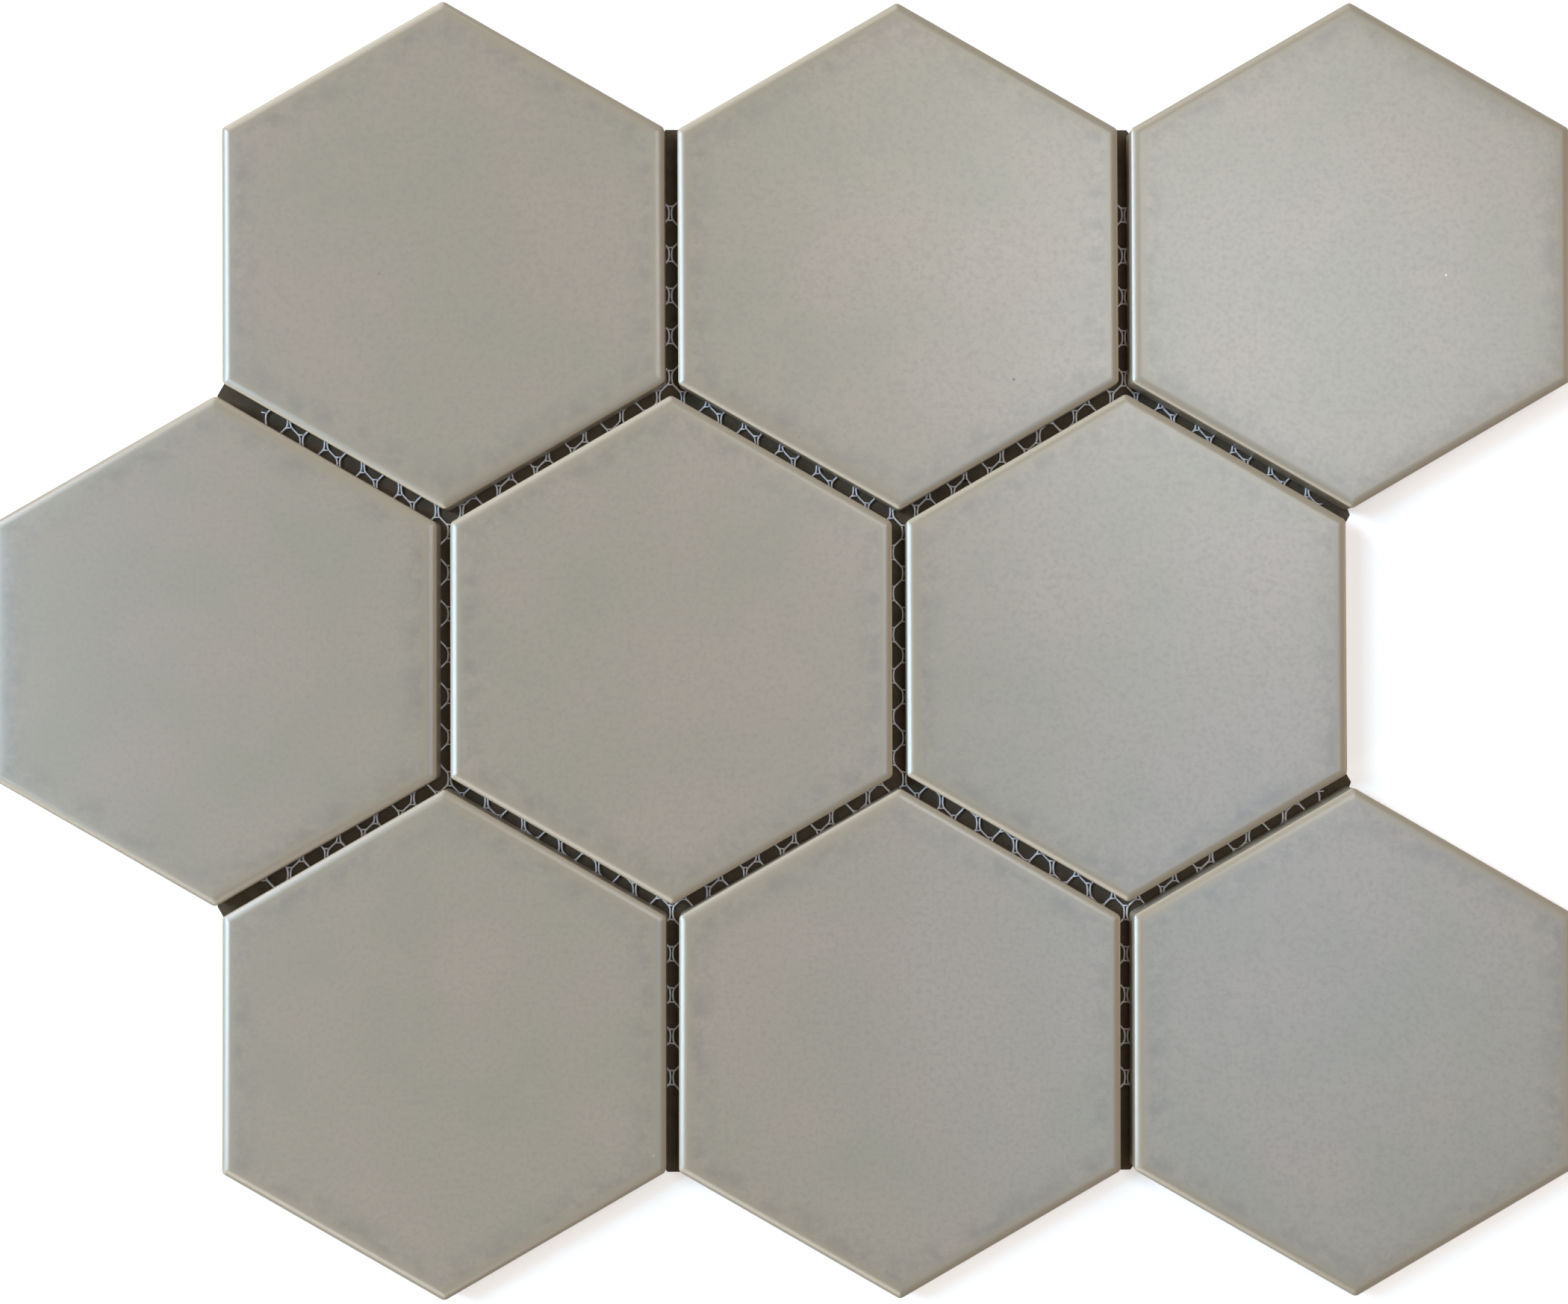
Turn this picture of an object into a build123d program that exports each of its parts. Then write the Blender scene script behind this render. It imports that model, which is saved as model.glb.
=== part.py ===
from build123d import *
import math
import os

# Sheet of hexagon tiles on a knitted backing net, lying face up.
# Millimetres, +X along the rows, +Z out of the tile faces, the net's underside at Z = 0.

# Tile
tile_across_flats = 95.0
tile_thickness = 6.0
edge_width = 2.2  # soft roundover all round the face, measured in from the side
edge_fall = 0.75  # drop of the face over that width
edge_break = 0.35  # small radius between the roundover and the side
corner_round = 1.3  # radius of the six corners, seen from above
back_chamfer = 0.4

# Keying grooves pressed into the back of every tile
groove_count = 5
groove_pitch = 16.0
groove_width = 6.0
groove_depth = 0.5

# Sheet
tile_rows = 3
tile_columns = 3
joint_width = 3.0

# Backing net
net_length = 232.0
net_width = 208.0
net_thickness = 0.4
net_border = 0.8  # closed strip left along the cut edge
hole_pitch = 5.36  # between two openings of one course
course_pitch = 4.49
course_slope = 2.8  # degrees by which the courses run down to the right
net_shift_x = 1.8  # place of one opening's middle
net_shift_y = -0.2
leg_width = 1.0  # doubled yarn between two openings of one course
strand_width = 0.4  # yarn between two openings of neighbouring courses

# What follows from the sizes above
tile_pitch = tile_across_flats + joint_width
row_pitch = tile_pitch * math.sqrt(3) / 2
slope = math.tan(math.radians(course_slope))
slant_pitch = math.hypot(hole_pitch / 2, course_pitch)
slant_angle = math.atan2(course_pitch, hole_pitch / 2)
hole_half_width = (hole_pitch - leg_width) / 2
hole_half_slant = (slant_pitch - strand_width) / 2
hole_half_height = hole_half_slant / math.sin(slant_angle)


def tile_centre(row, column):
    """Rows run downwards from the top one, and every second row lies half a pitch to the left."""
    shift = tile_pitch / 4 if row % 2 == 0 else -tile_pitch / 4
    x = (column - (tile_columns - 1) / 2) * tile_pitch + shift
    y = ((tile_rows - 1) / 2 - row) * row_pitch
    return x, y


def tile_section():
    """Section square to two sides of a tile: chamfered back, upright sides, soft-edged face."""
    half = tile_across_flats / 2
    side_top = tile_thickness - edge_fall
    face_end = (half - edge_width, tile_thickness)
    side = Polyline((0, 0), (half - back_chamfer, 0), (half, back_chamfer), (half, side_top))
    roundover = TangentArc(face_end, (half, side_top), tangent=(1, 0))
    face_line = Polyline(face_end, (0, tile_thickness), (0, 0))
    section = make_face(side + roundover + face_line)
    shoulder = section.vertices().group_by(Axis.X)[-1].sort_by(Axis.Y)[-1]
    section = fillet(shoulder, edge_break)
    return section + mirror(section, about=Plane.YZ)


def make_tile():
    """One tile with its back on Z = 0 and two of its points on the Y axis."""
    bar = extrude(Plane.XZ * tile_section(), tile_across_flats, both=True)
    body = bar & Rot(0, 0, 60) * bar & Rot(0, 0, 120) * bar
    hexagon = RegularPolygon(tile_across_flats / 2, 6, major_radius=False, rotation=30)
    body &= extrude(fillet(hexagon.vertices(), corner_round), tile_thickness)
    groove = Box(2 * tile_across_flats, groove_width, 2 * groove_depth)
    for index in range(groove_count):
        offset = (index - (groove_count - 1) / 2) * groove_pitch
        body -= Pos(0, offset, 0) * groove
    return body


def reach_from_tile(x, y, centre):
    """Distance from a tile's centre, measured square to the tile side that the point faces."""
    dx, dy = x - centre[0], y - centre[1]
    directions = [math.radians(angle) for angle in (0, 60, 120)]
    return max(abs(dx * math.cos(a) + dy * math.sin(a)) for a in directions)


def bare_openings(centres):
    """Centres of the net's openings that no single tile covers, so that they show in a joint."""
    x_limit = net_length / 2 - net_border - hole_half_width
    y_limit = net_width / 2 - net_border - hole_half_height
    covered = tile_across_flats / 2 - hole_half_slant
    columns = int(net_length / 2 // hole_pitch) + 1
    rows = int((net_width / 2 + slope * net_length / 2) // course_pitch) + 1
    places = []
    for j in range(-rows, rows + 1):
        for i in range(-columns, columns + 1):
            along = (i + 0.5 * (j % 2)) * hole_pitch
            x = along + net_shift_x
            y = j * course_pitch - slope * along + net_shift_y
            if abs(x) > x_limit or abs(y) > y_limit:
                continue
            if min(reach_from_tile(x, y, centre) for centre in centres) > covered:
                places.append((x, y))
    return places


def make_net(centres):
    """Flat net with its openings along the joints, closed where the tiles are glued to it."""
    side_height = hole_half_height - hole_half_width / math.tan(slant_angle)
    drop = slope * hole_half_width
    opening = Polygon(
        (hole_half_width, side_height - drop),
        (0, hole_half_height),
        (-hole_half_width, side_height + drop),
        (-hole_half_width, -side_height + drop),
        (0, -hole_half_height),
        (hole_half_width, -side_height - drop),
    )
    sheet = Rectangle(net_length, net_width)
    sheet -= [Pos(x, y) * opening for x, y in bare_openings(centres)]
    return extrude(sheet, net_thickness)


os.makedirs("parts", exist_ok=True)
tile = make_tile()
tile_centres = []
for row in range(tile_rows):
    for column in range(tile_columns):
        x, y = tile_centre(row, column)
        tile_centres.append((x, y))
        node = f"tile_row{row + 1}_col{column + 1}"
        export_step(Pos(x, y, net_thickness) * tile, f"parts/{node}.step")
export_step(make_net(tile_centres), "parts/backing_net.step")
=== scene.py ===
import itertools
import math

import bpy
import numpy as np
from mathutils import Euler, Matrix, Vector


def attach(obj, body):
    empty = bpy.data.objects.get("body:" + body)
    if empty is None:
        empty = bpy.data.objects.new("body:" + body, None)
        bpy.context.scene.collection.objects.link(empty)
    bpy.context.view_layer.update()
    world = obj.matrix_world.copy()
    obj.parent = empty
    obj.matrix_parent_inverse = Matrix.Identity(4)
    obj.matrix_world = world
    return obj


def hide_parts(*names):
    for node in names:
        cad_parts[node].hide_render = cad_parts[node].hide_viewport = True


# Sheet of hexagon tiles on a knitted net, seen from straight above on a pale floor.
# Metres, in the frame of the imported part: +X along the rows, +Z out of the tile faces.

MM = 0.001

# Tile
TILE_ACROSS_FLATS = 95.0 * MM
TILE_THICKNESS = 6.0 * MM
EDGE_WIDTH = 2.2 * MM  # soft roundover all round the face, measured in from the side
EDGE_FALL = 0.75 * MM  # drop of the face over that width
EDGE_BREAK = 0.35 * MM  # small radius between the roundover and the side
CORNER_ROUND = 1.3 * MM
CORNER_SHRINK = 0.5  # how fast a corner's radius shrinks inwards
CORNER_ROUND_LEFT = 0.5 * MM  # what remains of it inside the roundover
CUSHION_WIDTH = 6.0 * MM  # strip inside the roundover that still falls off a little
CUSHION_SLOPE = math.radians(2.5)  # of that strip where it meets the roundover
BACK_CHAMFER = 0.4 * MM
GROOVE_COUNT = 5
GROOVE_PITCH = 16.0 * MM
GROOVE_WIDTH = 6.0 * MM
GROOVE_DEPTH = 0.5 * MM
JOINT_WIDTH = 3.0 * MM
TILE_PITCH = TILE_ACROSS_FLATS + JOINT_WIDTH
NEAR_PITCH = 1.1 * TILE_PITCH  # tiles closer than this are neighbours
TILE_ROWS = 3
TILE_COLUMNS = 3
SHARP_ANGLE = math.radians(35)  # edges sharper than this stay sharp
LAYING_SEED = 7
LAYING_SHIFT = 0.2 * MM  # how far a tile was laid off its place
LAYING_TURN = math.radians(0.15)

# Net
NET_THICKNESS = 0.4 * MM
HOLE_PITCH = 5.36 * MM
COURSE_PITCH = 4.49 * MM
COURSE_SLOPE = math.radians(2.8)  # the courses run a little down to the right
NET_SHIFT = (1.8 * MM, -0.2 * MM)  # place of one opening's middle
YARN_RADIUS = 0.255 * MM  # to the edges of its four sides, so 0.36 mm across
YARN_SIDES = 4
LEG_SHAPE = ((0.0, 0.28 * MM), (0.7 * MM, 0.33 * MM), (1.35 * MM, 0.50 * MM))  # up, and out to each yarn
BAR_REACH = 1.62 * MM  # from a leg's middle to the loops across its ends
BAR_HALF_WIDTH = 0.64 * MM
BAR_BOW = 0.12 * MM
BAR_RADIUS = 0.8 * YARN_RADIUS
BAR_LIFT = 0.2 * YARN_RADIUS  # above the net's middle
LEG_COLUMNS = 43  # either side of the middle one
LEG_COURSES = 22
STEPS_PER_SPAN = 2
NET_STRIPS = ("net_left", "net_middle", "net_right")

# Floor, and the dark ground that shows through the joints
FLOOR_HALF = 1.6
FLOOR_LEVEL = -0.04 * MM
GROUND_LEVEL = -0.02 * MM
GROUND_TUCK = 2.0 * MM  # how far it reaches in under the tiles
GROUND_END = 1.5 * MM  # how far it runs on past the tiles' corners

# Camera
CAMERA_PLACE = (-3.71 * MM, -2.93 * MM, 370.0 * MM)
CAMERA_TURN = (0.374, -0.519, -0.13)  # degrees
CAMERA_LENS = 38.889  # millimetres, as is the sensor
CAMERA_SENSOR = 36.0
CAMERA_NEAR_LIMIT = 10.0 * MM

# Colours, linear
GLAZE_GREENISH = (0.367, 0.334, 0.256)
GLAZE_PINKISH = (0.406, 0.344, 0.274)
GLAZE_DULL = (0.305, 0.275, 0.221)
# Tan of the tiles' edges: partly wear of the glaze, partly painted shade that darkens and warms the edges
GLAZE_WORN_AND_SHADE = (0.374, 0.321, 0.237)
PINHOLE = (0.16, 0.14, 0.11)
SPECK = (0.72, 0.71, 0.68)
YARN = (0.86, 0.84, 0.85)
FLOOR = (0.93, 0.93, 0.93)
FLOOR_DARKER = (0.91, 0.91, 0.91)
FLOOR_BOUNCE = (0.55, 0.52, 0.48)
GROUND = (0.115, 0.090, 0.060)
GROUND_DARKER = (0.084, 0.066, 0.046)
WHITE = (1.0, 1.0, 1.0)
SURROUNDINGS = (1.0, 0.83, 0.70)

# Strengths of what glows
FLOOR_GLOW = 0.4
SURROUNDINGS_GLOW = 0.245

# Patterns: a scale is in cells to the metre, and limits are values of the noise
NOISE_LIMITS = (0.3, 0.7)  # most of any noise lies between these
ROUGH_NOISE = 0.65  # roughness of the grain's and the smudges' noise
PIECE_SHUFFLE = (5.0, 7.0, 3.0)  # how far apart two pieces may look up a pattern
CLOUD_SCALE = 45.0
CLOUD_LIMITS = (0.35, 0.65)
GRAIN_SCALE = 900.0
GRAIN_LIMITS = (0.45, 0.72)
GRAIN_SHARE = 0.65
GRAIN_BUMP = 0.12
GRAIN_HEIGHT = 0.1 * MM
SMUDGE_SCALE = 240.0
SMUDGE_LIMITS = (0.42, 0.64)
SMUDGE_RIM = (9.0 * MM, 4.0 * MM)  # in from the side, where the smudges start and where they are full
# Where the tan edge, part wear and part painted shade, starts and where it is full, in from the side
WORN_AND_SHADED_RIM = (3.6 * MM, 1.8 * MM)
PINHOLE_SPOTS = (85.0, 0.035, 0.11)  # scale, radius in cells, share of the cells with a spot
SPECK_SPOTS = (70.0, 0.024, 0.12)
SPOT_CORE = 0.5  # share of a spot's radius inside its soft edge
GLAZE_ROUGHNESS = (0.29, 0.36)
GLAZE_IOR = 1.65
YARN_SCALE = 1500.0
YARN_SHADE = 0.8
YARN_ROUGHNESS = 0.6
FLOOR_SCALE = 3.0
GROUND_SCALE = 400.0


def tile_centre(row, column):
    """Place of a tile, counted from the top left one."""
    shift = TILE_PITCH / 4 if row % 2 == 0 else -TILE_PITCH / 4
    x = (column - (TILE_COLUMNS - 1) / 2) * TILE_PITCH + shift
    y = ((TILE_ROWS - 1) / 2 - row) * TILE_PITCH * math.sqrt(3) / 2
    return x, y


def hexagon_ring(inset, height):
    """Rounded hexagon, drawn in from the tile's outline by inset, as points at one height."""
    corner_points = 9
    side_points = 12
    apothem = TILE_ACROSS_FLATS / 2 - inset
    radius = max(CORNER_ROUND - CORNER_SHRINK * inset, CORNER_ROUND_LEFT)
    reach = (apothem - radius) / math.cos(math.radians(30))
    arcs = []
    for corner in range(6):
        middle = math.radians(90 + 60 * corner)
        turns = np.linspace(middle - math.radians(30), middle + math.radians(30), corner_points)
        centre = reach * np.array([math.cos(middle), math.sin(middle)])
        arcs.append(centre + radius * np.column_stack([np.cos(turns), np.sin(turns)]))
    points = []
    for corner in range(6):
        start = arcs[corner][-1]
        end = arcs[(corner + 1) % 6][0]
        points.extend(arcs[corner])
        for step in range(1, side_points + 1):
            points.append(start + (end - start) * step / (side_points + 1))
    return [(x, y, height) for x, y in points]


def tile_profile():
    """Inset and height of every ring, from the back up the side and over the edge to the face."""
    break_steps = 6
    round_steps = 12
    cushion_steps = 6
    radius = (EDGE_WIDTH ** 2 + EDGE_FALL ** 2) / (2 * EDGE_FALL)
    cushion_drop = math.tan(CUSHION_SLOPE) * CUSHION_WIDTH / 3
    cushion_start = EDGE_WIDTH - radius * math.sin(CUSHION_SLOPE)
    middle = TILE_THICKNESS - cushion_drop - radius * math.cos(CUSHION_SLOPE)
    steepest = math.asin((EDGE_WIDTH - EDGE_BREAK) / (radius - EDGE_BREAK))
    side_top = middle + (radius - EDGE_BREAK) * math.cos(steepest)
    rings = [(BACK_CHAMFER, 0.0), (0.0, BACK_CHAMFER)]
    for slope in np.linspace(math.radians(90), steepest, break_steps + 1):
        rings.append((EDGE_BREAK * (1 - math.sin(slope)), side_top + EDGE_BREAK * math.cos(slope)))
    for slope in np.linspace(steepest, CUSHION_SLOPE, round_steps + 1)[1:]:
        rings.append((EDGE_WIDTH - radius * math.sin(slope), middle + radius * math.cos(slope)))
    for share in np.linspace(0, 1, cushion_steps + 1)[1:]:
        height = TILE_THICKNESS - cushion_drop * (1 - share) ** 3
        rings.append((cushion_start + share * CUSHION_WIDTH, height))
    return rings


def link(name, mesh):
    """New object in the scene that shows a mesh."""
    piece = bpy.data.objects.new(name, mesh)
    bpy.context.scene.collection.objects.link(piece)
    return piece


def groove_cutter():
    """Boxes that cut the keying grooves into a tile's back."""
    vertices = []
    faces = []
    box_faces = [(0, 1, 3, 2), (4, 6, 7, 5), (0, 4, 5, 1), (2, 3, 7, 6), (0, 2, 6, 4), (1, 5, 7, 3)]
    for index in range(GROOVE_COUNT):
        offset = (index - (GROOVE_COUNT - 1) / 2) * GROOVE_PITCH
        first = len(vertices)
        for x in (-TILE_ACROSS_FLATS, TILE_ACROSS_FLATS):
            for y in (offset - GROOVE_WIDTH / 2, offset + GROOVE_WIDTH / 2):
                for z in (-GROOVE_DEPTH, GROOVE_DEPTH):
                    vertices.append((x, y, z))
        faces.extend(tuple(first + corner for corner in face) for face in box_faces)
    mesh = bpy.data.meshes.new("groove_cutter")
    mesh.from_pydata(vertices, [], faces)
    return link("groove_cutter", mesh)


def tile_mesh():
    """One tile with a round-edged, slightly cushioned face and a grooved back."""
    rings = [hexagon_ring(inset, height) for inset, height in tile_profile()]
    count = len(rings[0])
    vertices = [point for ring in rings for point in ring]
    faces = [tuple(reversed(range(count)))]
    for level in range(len(rings) - 1):
        low = level * count
        for i in range(count):
            after = (i + 1) % count
            faces.append((low + i, low + after, low + count + after, low + count + i))
    last = (len(rings) - 1) * count
    faces.append(tuple(range(last, last + count)))
    mesh = bpy.data.meshes.new("plain_tile")
    mesh.from_pydata(vertices, [], faces)
    plain = link("plain_tile", mesh)
    cutter = groove_cutter()
    cut = plain.modifiers.new("grooves", "BOOLEAN")
    cut.operation = "DIFFERENCE"
    cut.solver = "EXACT"
    cut.object = cutter
    depsgraph = bpy.context.evaluated_depsgraph_get()
    cut_mesh = bpy.data.meshes.new_from_object(plain.evaluated_get(depsgraph))
    cut_mesh.name = "tile"
    bpy.data.objects.remove(plain)
    bpy.data.objects.remove(cutter)
    cut_mesh.shade_smooth()
    cut_mesh.set_sharp_from_angle(angle=SHARP_ANGLE)
    return cut_mesh


def make_tiles(material):
    """The nine tiles, each laid a hair off its place as by hand."""
    chance = np.random.default_rng(LAYING_SEED)
    mesh = tile_mesh()
    mesh.materials.clear()
    mesh.materials.append(material)
    for row in range(TILE_ROWS):
        for column in range(TILE_COLUMNS):
            x, y = tile_centre(row, column)
            shift_x, shift_y, turn = chance.uniform(-1, 1, 3)
            tile = link(f"laid_tile_row{row + 1}_col{column + 1}", mesh)
            tile.location = (x + LAYING_SHIFT * shift_x, y + LAYING_SHIFT * shift_y, NET_THICKNESS)
            tile.rotation_euler = (0, 0, LAYING_TURN * turn)
            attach(tile, "root")
            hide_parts(f"tile_row{row + 1}_col{column + 1}")


def smooth_path(points):
    """Rounded path through points, an array of paths by points by coordinates."""
    before = np.concatenate([points[:, :1], points[:, :-1]], axis=1)
    after = np.concatenate([points[:, 1:], points[:, -1:]], axis=1)
    later = np.concatenate([after[:, 1:], after[:, -1:]], axis=1)
    pieces = []
    for step in range(STEPS_PER_SPAN):
        t = step / STEPS_PER_SPAN
        spline = 2 * points + (after - before) * t
        spline = spline + (2 * before - 5 * points + 4 * after - later) * t ** 2
        spline = spline + (3 * points - before - 3 * after + later) * t ** 3
        pieces.append(spline / 2)
    path = np.stack(pieces, axis=2).reshape(points.shape[0], -1, 3)
    return path[:, :1 - STEPS_PER_SPAN]


def tubes(paths, radius):
    """Vertices and faces of four-sided yarns along paths of equal length."""
    count, length = paths.shape[:2]
    along = np.gradient(paths, axis=1)
    along = along / np.linalg.norm(along, axis=2, keepdims=True)
    sideways = np.cross(along, np.array([0.0, 0.0, 1.0]))
    sideways = sideways / np.linalg.norm(sideways, axis=2, keepdims=True)
    upwards = np.cross(sideways, along)
    turns = (np.arange(YARN_SIDES) + 0.5) * 2 * math.pi / YARN_SIDES
    rings = [paths + radius * (math.cos(a) * sideways + math.sin(a) * upwards) for a in turns]
    vertices = np.stack(rings, axis=2).reshape(-1, 3)
    index = np.arange(count * length * YARN_SIDES).reshape(count, length, YARN_SIDES)
    round_again = np.roll(index, -1, axis=2)
    low, low_next = index[:, :-1], round_again[:, :-1]
    high, high_next = index[:, 1:], round_again[:, 1:]
    walls = np.stack([low, high, high_next, low_next], axis=3).reshape(-1, 4)
    start_caps = index[:, 0, :]
    end_caps = index[:, -1, ::-1]
    return vertices, np.concatenate([walls, start_caps, end_caps])


def net_place(x, y, height):
    """Point of the net where it lies, with its courses sloping."""
    return x + NET_SHIFT[0], y + NET_SHIFT[1] - x * math.tan(COURSE_SLOPE), height


def courses(column):
    """Courses that a column of the net has between the cut edges."""
    lift = round(column * HOLE_PITCH / 2 * math.tan(COURSE_SLOPE) / COURSE_PITCH)
    return range(lift - LEG_COURSES, lift + LEG_COURSES + 1)


def yarn_paths(first_column, last_column):
    """Yarns that zigzag up the net between neighbouring columns of legs."""
    middle = NET_THICKNESS / 2
    leg = [(-up, out) for up, out in reversed(LEG_SHAPE)] + list(LEG_SHAPE[1:])
    paths = []
    for column in range(first_column, last_column):
        path = []
        for course in courses(column):
            on_left = (course + column) % 2 == 1
            post = column if on_left else column + 1
            side = 1 if on_left else -1
            for up, out in leg:
                x = post * HOLE_PITCH / 2 + side * out
                path.append(net_place(x, course * COURSE_PITCH + up, middle))
            x = (column + 0.5) * HOLE_PITCH / 2
            path.append(net_place(x, (course + 0.5) * COURSE_PITCH, middle))
        paths.append(path[:-1])
    return np.array(paths)


def bar_paths(first_column, last_column):
    """Short loops of yarn across both ends of every leg."""
    height = NET_THICKNESS / 2 + BAR_LIFT
    paths = []
    for column in range(first_column, last_column):
        for course in courses(column):
            if (course + column) % 2 == 0:
                continue
            x = column * HOLE_PITCH / 2
            for end in (-1, 1):
                y = course * COURSE_PITCH + end * BAR_REACH
                paths.append([
                    net_place(x - BAR_HALF_WIDTH, y, height),
                    net_place(x, y - end * BAR_BOW, height),
                    net_place(x + BAR_HALF_WIDTH, y, height),
                ])
    return np.array(paths)


def mesh_from_arrays(name, vertices, faces):
    """Mesh of four-sided faces straight from arrays."""
    mesh = bpy.data.meshes.new(name)
    mesh.vertices.add(len(vertices))
    mesh.vertices.foreach_set("co", vertices.ravel())
    mesh.loops.add(faces.size)
    mesh.loops.foreach_set("vertex_index", faces.ravel())
    mesh.polygons.add(len(faces))
    mesh.polygons.foreach_set("loop_start", np.arange(len(faces)) * 4)
    mesh.polygons.foreach_set("use_smooth", np.ones(len(faces), dtype=bool))
    mesh.update(calc_edges=True)
    mesh.validate()
    return mesh


def make_net(material):
    """The whole knitted net, in strips from left to right."""
    limits = np.linspace(-LEG_COLUMNS, LEG_COLUMNS, len(NET_STRIPS) + 1).round().astype(int)
    for name, first, last in zip(NET_STRIPS, limits[:-1], limits[1:]):
        yarn_vertices, yarn_faces = tubes(smooth_path(yarn_paths(first, last)), YARN_RADIUS)
        bar_vertices, bar_faces = tubes(bar_paths(first, last + 1), BAR_RADIUS)
        vertices = np.concatenate([yarn_vertices, bar_vertices])
        faces = np.concatenate([yarn_faces, bar_faces + len(yarn_vertices)])
        strip = link(name, mesh_from_arrays(name, vertices, faces))
        strip.data.materials.append(material)
        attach(strip, "root")
        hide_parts("backing_net")


class Shader:
    """A material's node tree, with short ways to add and join nodes."""

    def __init__(self, name):
        self.material = bpy.data.materials.new(name)
        self.material.use_nodes = True
        self.tree = self.material.node_tree
        self.tree.nodes.clear()
        self.output = self.add("ShaderNodeOutputMaterial")

    def add(self, kind, **settings):
        """New node with some of its settings."""
        node = self.tree.nodes.new(kind)
        for key, value in settings.items():
            setattr(node, key, value)
        return node

    def join(self, source, target):
        """Link from an output to an input."""
        self.tree.links.new(source, target)

    def noise(self, vector, scale, detail, roughness=0.5):
        """Value of a noise at a place."""
        node = self.add("ShaderNodeTexNoise")
        self.join(vector, node.inputs["Vector"])
        node.inputs["Scale"].default_value = scale
        node.inputs["Detail"].default_value = detail
        node.inputs["Roughness"].default_value = roughness
        return node.outputs["Fac"]

    def spread(self, value, low, high, to_low=0.0, to_high=1.0):
        """A value's range between two limits, stretched over another range."""
        node = self.add("ShaderNodeMapRange")
        self.join(value, node.inputs["Value"])
        node.inputs["From Min"].default_value = low
        node.inputs["From Max"].default_value = high
        node.inputs["To Min"].default_value = to_low
        node.inputs["To Max"].default_value = to_high
        return node.outputs["Result"]

    def math(self, operation, first, second):
        """One sum on two values, each a number or an output."""
        node = self.add("ShaderNodeMath", operation=operation)
        for socket, value in zip(node.inputs, (first, second)):
            if isinstance(value, (int, float)):
                socket.default_value = value
            else:
                self.join(value, socket)
        return node.outputs["Value"]

    def blend(self, share, first, second):
        """Mix of two colours, each a tuple or an output."""
        node = self.add("ShaderNodeMix", data_type="RGBA")
        self.join(share, node.inputs["Factor"])
        colour_a, colour_b = [s for s in node.inputs if s.type == "RGBA"]
        for socket, value in ((colour_a, first), (colour_b, second)):
            if isinstance(value, tuple):
                socket.default_value = (*value, 1.0)
            else:
                self.join(value, socket)
        return [s for s in node.outputs if s.type == "RGBA"][0]


def object_place(shader):
    """Place on a piece, in metres from its origin."""
    return shader.add("ShaderNodeTexCoord").outputs["Object"]


def shuffled_place(shader):
    """Place on a piece, moved by a different amount for every piece."""
    info = shader.add("ShaderNodeObjectInfo")
    chance = shader.add("ShaderNodeCombineXYZ")
    for socket in chance.inputs:
        shader.join(info.outputs["Random"], socket)
    moved = shader.add("ShaderNodeVectorMath", operation="MULTIPLY_ADD")
    shader.join(chance.outputs["Vector"], moved.inputs[0])
    moved.inputs[1].default_value = PIECE_SHUFFLE
    shader.join(object_place(shader), moved.inputs[2])
    return moved.outputs["Vector"]


def spots(shader, vector, scale, size, share):
    """Sparse round spots: one in some of the cells of a random pattern."""
    cells = shader.add("ShaderNodeTexVoronoi")
    shader.join(vector, cells.inputs["Vector"])
    cells.inputs["Scale"].default_value = scale
    near = shader.spread(cells.outputs["Distance"], size, SPOT_CORE * size)
    split = shader.add("ShaderNodeSeparateColor")
    shader.join(cells.outputs["Color"], split.inputs["Color"])
    chosen = shader.math("LESS_THAN", split.outputs["Red"], share)
    return shader.math("MULTIPLY", near, chosen)


def reach_from_middle(shader, place):
    """Distance from a tile's middle, measured square to the side that a point faces."""
    reach = 0.0
    for turn in (0, 60, 120):
        dot = shader.add("ShaderNodeVectorMath", operation="DOT_PRODUCT")
        shader.join(place, dot.inputs[0])
        angle = math.radians(turn)
        dot.inputs[1].default_value = (math.cos(angle), math.sin(angle), 0.0)
        reach = shader.math("MAXIMUM", reach, shader.math("ABSOLUTE", dot.outputs["Value"], 0.0))
    return reach


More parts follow.
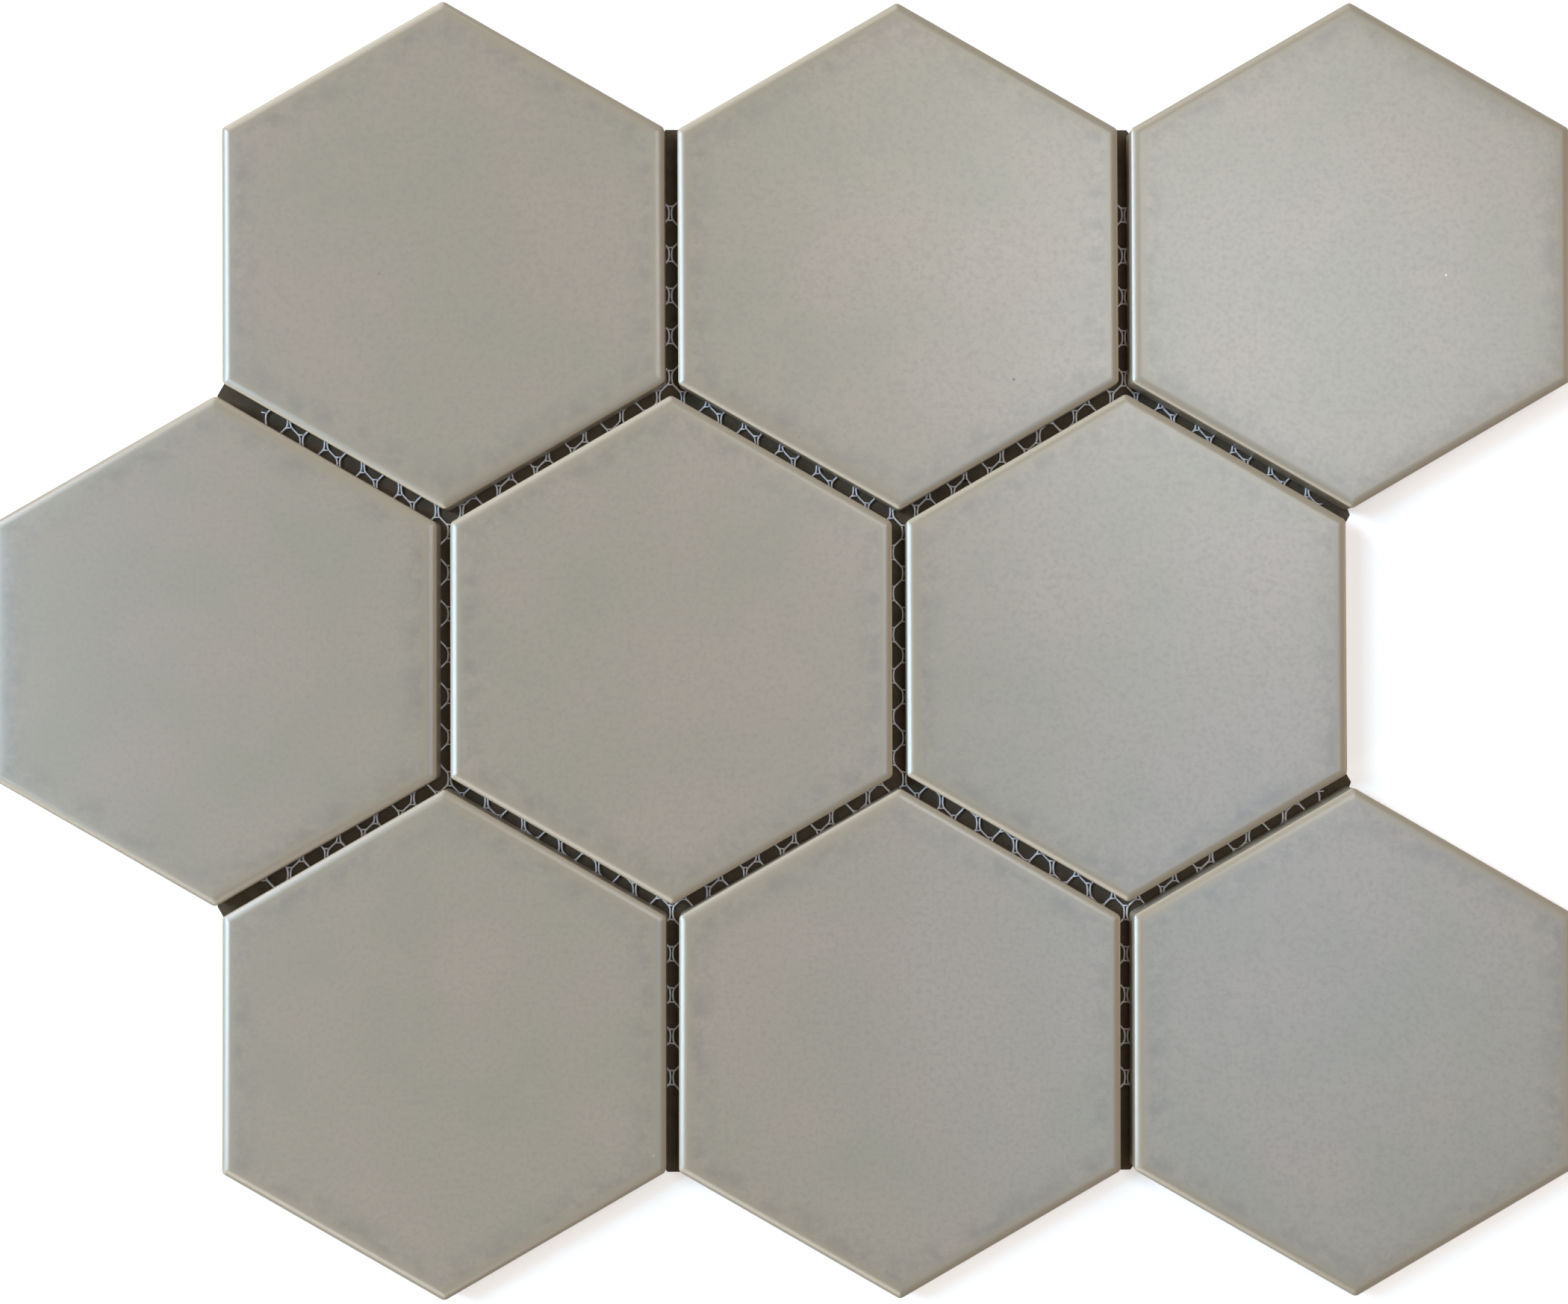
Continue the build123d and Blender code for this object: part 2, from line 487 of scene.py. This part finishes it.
def glaze_material():
    """Satin warm grey glaze, faintly clouded and speckled, dull near its edges and tan on them, partly from
    wear and partly painted shade.
    """
    shader = Shader("glaze")
    place = shuffled_place(shader)
    clouds = shader.spread(shader.noise(place, CLOUD_SCALE, 3.0), *CLOUD_LIMITS)
    colour = shader.blend(clouds, GLAZE_GREENISH, GLAZE_PINKISH)
    fine = shader.noise(place, GRAIN_SCALE, 4.0, ROUGH_NOISE)
    grain = shader.spread(fine, *GRAIN_LIMITS, 0.0, GRAIN_SHARE)
    colour = shader.blend(grain, colour, GLAZE_DULL)
    half = TILE_ACROSS_FLATS / 2
    reach = reach_from_middle(shader, object_place(shader))
    rim = shader.spread(reach, *[half - inset for inset in SMUDGE_RIM])
    smudges = shader.spread(shader.noise(place, SMUDGE_SCALE, 4.0, ROUGH_NOISE), *SMUDGE_LIMITS)
    colour = shader.blend(shader.math("MULTIPLY", rim, smudges), colour, GLAZE_DULL)
    colour = shader.blend(spots(shader, place, *PINHOLE_SPOTS), colour, PINHOLE)
    colour = shader.blend(spots(shader, place, *SPECK_SPOTS), colour, SPECK)
    # Tan edge: partly wear, partly painted shade that darkens the outer rim of the face
    worn_and_shade = shader.spread(reach, *[half - inset for inset in WORN_AND_SHADED_RIM])
    colour = shader.blend(worn_and_shade, colour, GLAZE_WORN_AND_SHADE)
    surface = shader.add("ShaderNodeBsdfPrincipled")
    shader.join(colour, surface.inputs["Base Color"])
    roughness = shader.spread(fine, *NOISE_LIMITS, *GLAZE_ROUGHNESS)
    shader.join(roughness, surface.inputs["Roughness"])
    surface.inputs["IOR"].default_value = GLAZE_IOR
    bump = shader.add("ShaderNodeBump")
    bump.inputs["Strength"].default_value = GRAIN_BUMP
    bump.inputs["Distance"].default_value = GRAIN_HEIGHT
    shader.join(fine, bump.inputs["Height"])
    shader.join(bump.outputs["Normal"], surface.inputs["Normal"])
    shader.join(surface.outputs["BSDF"], shader.output.inputs["Surface"])
    return shader.material


def yarn_material():
    """Matt off-white yarn with a faint unevenness."""
    shader = Shader("yarn")
    uneven = shader.spread(shader.noise(shuffled_place(shader), YARN_SCALE, 2.0), *NOISE_LIMITS)
    darker = tuple(YARN_SHADE * c for c in YARN)
    colour = shader.blend(uneven, darker, YARN)
    surface = shader.add("ShaderNodeBsdfPrincipled")
    shader.join(colour, surface.inputs["Base Color"])
    surface.inputs["Roughness"].default_value = YARN_ROUGHNESS
    shader.join(surface.outputs["BSDF"], shader.output.inputs["Surface"])
    return shader.material


def floor_material():
    """Pale floor, white where it is seen or mirrored, with the sheet's soft shadow."""
    shader = Shader("floor")
    uneven = shader.spread(shader.noise(object_place(shader), FLOOR_SCALE, 2.0), *NOISE_LIMITS)
    seen = shader.add("ShaderNodeBsdfDiffuse")
    shader.join(shader.blend(uneven, FLOOR_DARKER, FLOOR), seen.inputs["Color"])
    glow = shader.add("ShaderNodeEmission")
    glow.inputs["Color"].default_value = (*WHITE, 1.0)
    glow.inputs["Strength"].default_value = FLOOR_GLOW
    both = shader.add("ShaderNodeAddShader")
    shader.join(seen.outputs["BSDF"], both.inputs[0])
    shader.join(glow.outputs["Emission"], both.inputs[1])
    plain = shader.add("ShaderNodeBsdfDiffuse")
    plain.inputs["Color"].default_value = (*FLOOR_BOUNCE, 1.0)
    path = shader.add("ShaderNodeLightPath")
    looked_at = shader.math("MAXIMUM", path.outputs["Is Camera Ray"], path.outputs["Is Glossy Ray"])
    looked_at = shader.math("MAXIMUM", looked_at, path.outputs["Is Transmission Ray"])
    mix = shader.add("ShaderNodeMixShader")
    shader.join(looked_at, mix.inputs["Fac"])
    shader.join(plain.outputs["BSDF"], mix.inputs[1])
    shader.join(both.outputs["Shader"], mix.inputs[2])
    shader.join(mix.outputs["Shader"], shader.output.inputs["Surface"])
    return shader.material


def ground_material():
    """Dark brown felt, slightly mottled."""
    shader = Shader("ground")
    uneven = shader.spread(shader.noise(object_place(shader), GROUND_SCALE, 3.0), *NOISE_LIMITS)
    surface = shader.add("ShaderNodeBsdfDiffuse")
    shader.join(shader.blend(uneven, GROUND_DARKER, GROUND), surface.inputs["Color"])
    shader.join(surface.outputs["BSDF"], shader.output.inputs["Surface"])
    return shader.material


def joint_patch(tiles, centres):
    """Patch under the joint between two tiles, which runs on a little where no third tile closes it."""
    middle = (tiles[0] + tiles[1]) / 2
    across = (tiles[1] - tiles[0]).normalized()
    along = Vector((-across.y, across.x))
    to_third = TILE_PITCH * math.sqrt(3) / 2
    side = TILE_ACROSS_FLATS / math.sqrt(3)
    tucked = side / 2 - GROUND_TUCK / math.sqrt(3)
    reach = JOINT_WIDTH / 2
    outline = []
    for turn in (1, -1):
        third = middle + turn * to_third * along
        closed = min((centre - third).length for centre in centres) < JOINT_WIDTH
        end = side / 2 if closed else side / 2 + GROUND_END
        outline.append((-turn * tucked, -turn * (reach + GROUND_TUCK)))
        outline.append((turn * tucked, -turn * (reach + GROUND_TUCK)))
        outline.append((turn * end, -turn * reach))
        outline.append((turn * end, turn * reach))
    return [middle + u * along + v * across for u, v in outline]


def junction_patch(tiles):
    """Triangle between the corners of three tiles that meet."""
    middle = (tiles[0] + tiles[1] + tiles[2]) / 3
    return [middle + (tile - middle).normalized() * JOINT_WIDTH / math.sqrt(3) for tile in tiles]


def neighbours(centres, count):
    """Groups of tiles that all lie side by side."""
    groups = []
    for group in itertools.combinations(centres, count):
        gaps = [(a - b).length for a, b in itertools.combinations(group, 2)]
        if max(gaps) < NEAR_PITCH:
            groups.append(group)
    return groups


def make_ground():
    """Dark surface under the sheet, which shows only through the joints."""
    places = itertools.product(range(TILE_ROWS), range(TILE_COLUMNS))
    centres = [Vector(tile_centre(row, column)) for row, column in places]
    patches = [joint_patch(pair, centres) for pair in neighbours(centres, 2)]
    patches += [junction_patch(three) for three in neighbours(centres, 3)]
    vertices = [(point.x, point.y, GROUND_LEVEL) for patch in patches for point in patch]
    faces = []
    for patch in patches:
        first = sum(len(face) for face in faces)
        faces.append(tuple(range(first, first + len(patch))))
    mesh = bpy.data.meshes.new("dark_ground")
    mesh.from_pydata(vertices, [], faces)
    ground = link("dark_ground", mesh)
    mesh.materials.append(ground_material())


def make_floor():
    """Large pale floor just under the net."""
    signs = ((-1, -1), (1, -1), (1, 1), (-1, 1))
    corners = [(FLOOR_HALF * x, FLOOR_HALF * y, FLOOR_LEVEL) for x, y in signs]
    mesh = bpy.data.meshes.new("floor")
    mesh.from_pydata(corners, [], [(0, 1, 2, 3)])
    floor = link("floor", mesh)
    mesh.materials.append(floor_material())


def area_light(name, azimuth, elevation, distance, width, height, power, colour, gloss_only=False):
    """Soft rectangular light that faces the sheet, in degrees, metres and watts. Some show only as gloss."""
    data = bpy.data.lights.new(name, "AREA")
    data.shape = "RECTANGLE"
    data.size = width
    data.size_y = height
    data.energy = power
    data.color = colour
    light = bpy.data.objects.new(name, data)
    bpy.context.scene.collection.objects.link(light)
    turn = math.radians(azimuth)
    rise = math.radians(elevation)
    away = Vector((math.cos(rise) * math.cos(turn), math.cos(rise) * math.sin(turn), math.sin(rise)))
    light.location = distance * away
    light.rotation_euler = (-away).to_track_quat("-Z", "Y").to_euler()
    light.visible_diffuse = not gloss_only


def make_lights():
    """A cool window on the left, warm fills round it and a dim ceiling on the right."""
    # name, azimuth, elevation, distance, width, height, power, colour
    area_light("window_top_end", 163, 39, 2.8, 0.65, 1.0, 46.0, (0.44, 0.70, 0.94))
    area_light("window_middle", 180, 39, 2.8, 0.6, 1.0, 43.0, (0.44, 0.70, 0.94), gloss_only=True)
    area_light("window_low_end", 195, 39, 2.8, 0.6, 1.0, 43.0, (0.47, 0.71, 0.94), gloss_only=True)
    area_light("window_sill", 180, 8, 2.8, 1.4, 0.5, 10.0, (0.85, 0.92, 1.0))
    area_light("wall_up_left", 114, 32, 2.8, 2.3, 1.0, 23.0, (1.0, 0.98, 0.93), gloss_only=True)
    area_light("wall_low_left", 246, 34, 2.8, 2.3, 1.1, 44.0, (1.0, 0.98, 0.92), gloss_only=True)
    area_light("sky", 151, 28, 2.8, 0.6, 0.7, 27.0, (0.88, 0.88, 1.0))
    area_light("fill_low_left", 211, 18, 2.8, 0.9, 0.6, 17.0, (1.0, 0.90, 0.70))
    area_light("fill_up_left", 120, 10, 2.8, 1.4, 0.6, 18.0, (1.0, 0.95, 0.82))
    area_light("fill_right", 0, 12, 2.8, 1.4, 0.6, 12.0, (1.0, 0.68, 0.36))
    area_light("overhead", 46, 65, 1.12, 0.62, 0.4, 2.2, (1.0, 0.95, 0.86))
    area_light("overhead_right", 4, 68, 1.09, 0.6, 0.35, 0.9, (0.41, 0.60, 1.0))
    area_light("ceiling_up_right", 38, 64, 1.1, 0.45, 0.4, 1.7, (0.62, 0.82, 1.0), gloss_only=True)
    area_light("ceiling_low_right", 324, 66, 1.1, 0.45, 0.4, 1.4, (0.28, 0.60, 1.0), gloss_only=True)


def make_surroundings():
    """Dim warm light from all round, which the camera sees as white."""
    world = bpy.data.worlds.new("surroundings")
    bpy.context.scene.world = world
    world.use_nodes = True
    nodes = world.node_tree.nodes
    links = world.node_tree.links
    nodes.clear()
    output = nodes.new("ShaderNodeOutputWorld")
    dim = nodes.new("ShaderNodeBackground")
    dim.inputs["Color"].default_value = (*SURROUNDINGS, 1.0)
    dim.inputs["Strength"].default_value = SURROUNDINGS_GLOW
    white = nodes.new("ShaderNodeBackground")
    white.inputs["Color"].default_value = (*WHITE, 1.0)
    white.inputs["Strength"].default_value = 1.0
    path = nodes.new("ShaderNodeLightPath")
    mix = nodes.new("ShaderNodeMixShader")
    links.new(path.outputs["Is Camera Ray"], mix.inputs["Fac"])
    links.new(dim.outputs["Background"], mix.inputs[1])
    links.new(white.outputs["Background"], mix.inputs[2])
    links.new(mix.outputs["Shader"], output.inputs["Surface"])


def make_camera():
    """Camera above the sheet, almost square to it."""
    data = bpy.data.cameras.new("camera")
    data.sensor_fit = "HORIZONTAL"
    data.sensor_width = CAMERA_SENSOR
    data.lens = CAMERA_LENS
    data.clip_start = CAMERA_NEAR_LIMIT
    camera = bpy.data.objects.new("camera", data)
    bpy.context.scene.collection.objects.link(camera)
    camera.location = CAMERA_PLACE
    camera.rotation_euler = Euler([math.radians(angle) for angle in CAMERA_TURN])
    bpy.context.scene.camera = camera


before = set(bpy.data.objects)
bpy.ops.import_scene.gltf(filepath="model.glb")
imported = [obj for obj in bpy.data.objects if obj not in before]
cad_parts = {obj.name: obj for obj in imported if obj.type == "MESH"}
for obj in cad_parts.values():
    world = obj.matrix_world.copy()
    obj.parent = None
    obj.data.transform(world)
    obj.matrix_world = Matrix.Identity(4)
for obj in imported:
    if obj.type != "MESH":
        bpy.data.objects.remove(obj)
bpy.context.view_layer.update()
make_tiles(glaze_material())
make_net(yarn_material())
make_floor()
make_ground()
make_lights()
make_surroundings()
make_camera()
bpy.context.scene.view_settings.view_transform = "Standard"
